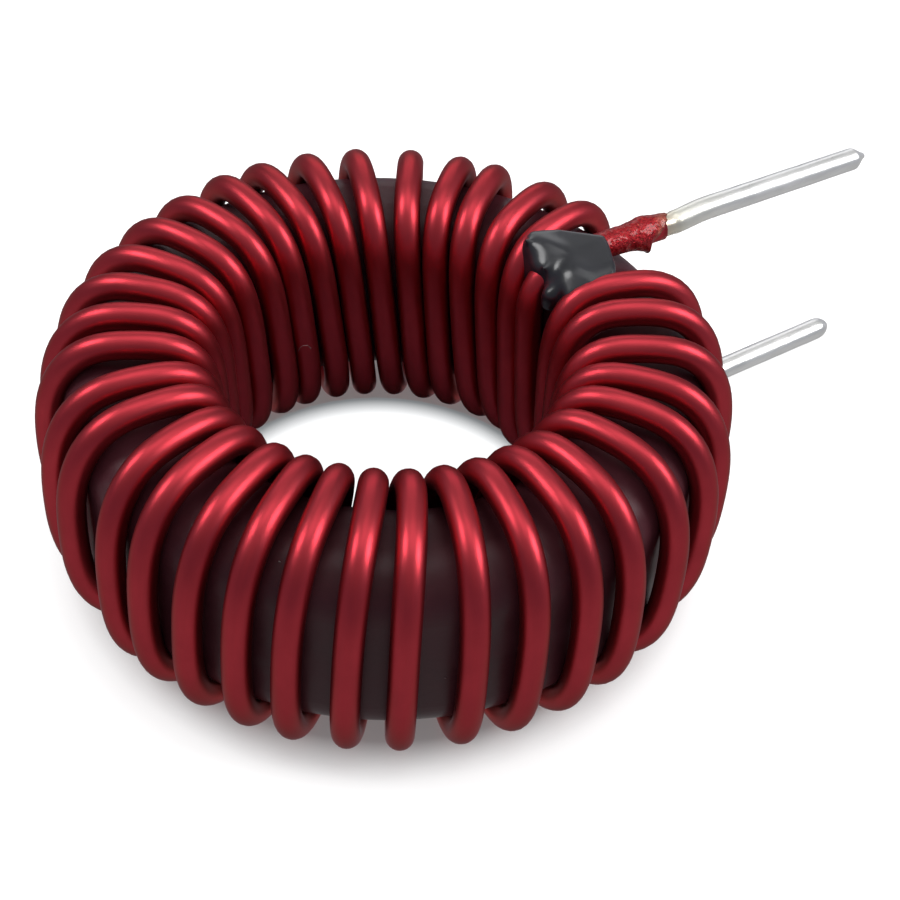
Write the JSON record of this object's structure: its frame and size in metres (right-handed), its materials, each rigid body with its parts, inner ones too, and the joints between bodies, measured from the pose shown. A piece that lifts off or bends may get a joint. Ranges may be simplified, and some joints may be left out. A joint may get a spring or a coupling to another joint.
{
  "type": "toroidal inductor",
  "caption": "Toroidal power inductor: spaced red enamelled wire wound round a black coated ring core, black fixing adhesive, two tinned leads on one side",
  "frame": {"origin": "on the ring's axis, in the plane that the winding rests on", "axes": "+Z along the ring's axis, upwards; +X along both leads, away from the ring"},
  "size_m": [0.0511, 0.0362, 0.0151],
  "materials": {
    "core_coating": "satin black epoxy coat",
    "red_enamel": "clear red enamel over copper wire, satin gloss",
    "black_adhesive": "glossy black, puckered",
    "solder": "bright solder-dipped, lightly frosted"
  },
  "bodies": {
    "root": {"toroid_core": "core_coating", "winding_wire": "red_enamel", "fixing_adhesive": "black_adhesive", "solder_coat_upper_lead": "solder", "solder_coat_lower_lead": "solder"}
  },
  "joints": []
}
